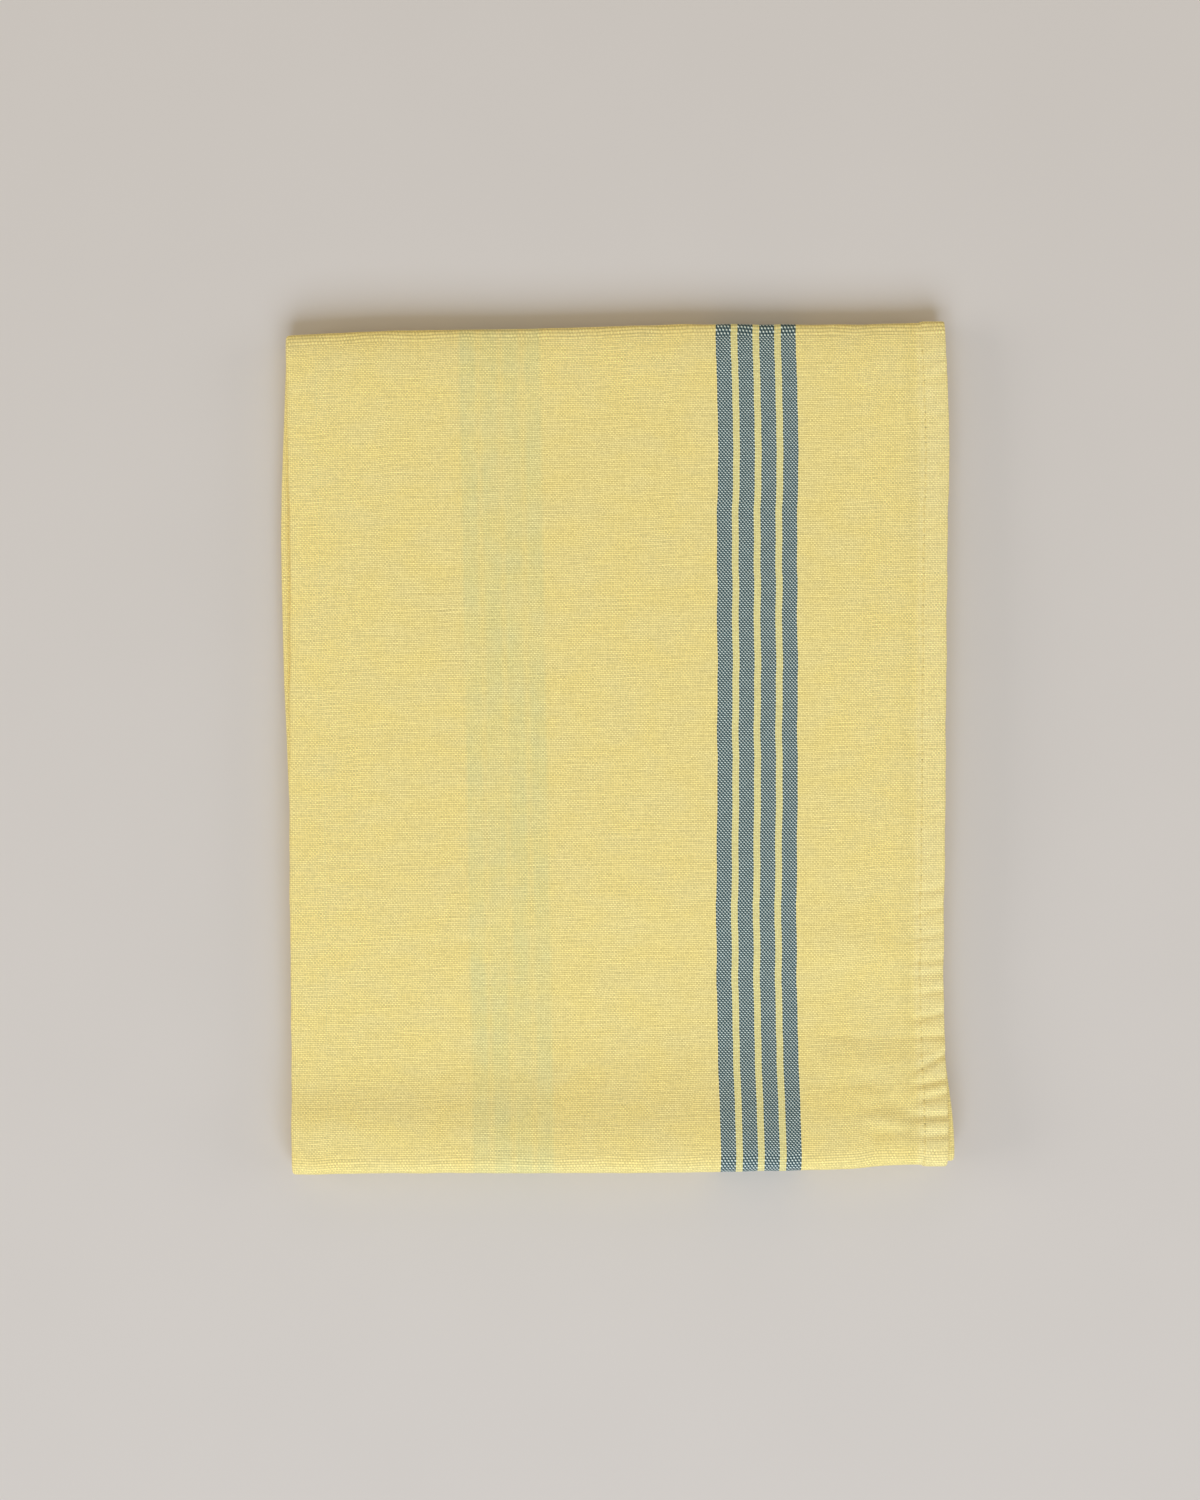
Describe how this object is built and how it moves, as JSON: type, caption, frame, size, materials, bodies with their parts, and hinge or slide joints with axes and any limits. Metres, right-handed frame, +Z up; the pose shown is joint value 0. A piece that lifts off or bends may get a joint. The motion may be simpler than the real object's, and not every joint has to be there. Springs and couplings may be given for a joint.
{
  "type": "folded tea towel",
  "caption": "Yellow woven cotton tea towel with blue-grey stripes beside a sewn side hem, folded in thirds both ways and lying flat.",
  "frame": {"origin": "middle of the folded towel's footprint, on the surface that it lies on", "axes": "+X across the stripes towards the sewn side hem, +Y along the stripes towards the far fold, +Z up from the surface to the striped face"},
  "size_m": [0.2078, 0.2634, 0.0164],
  "materials": {
    "cloth": "matte plain-woven cotton, yellow with blue-grey warp stripes"
  },
  "bodies": {
    "root": {"towel": "cloth"}
  },
  "joints": []
}
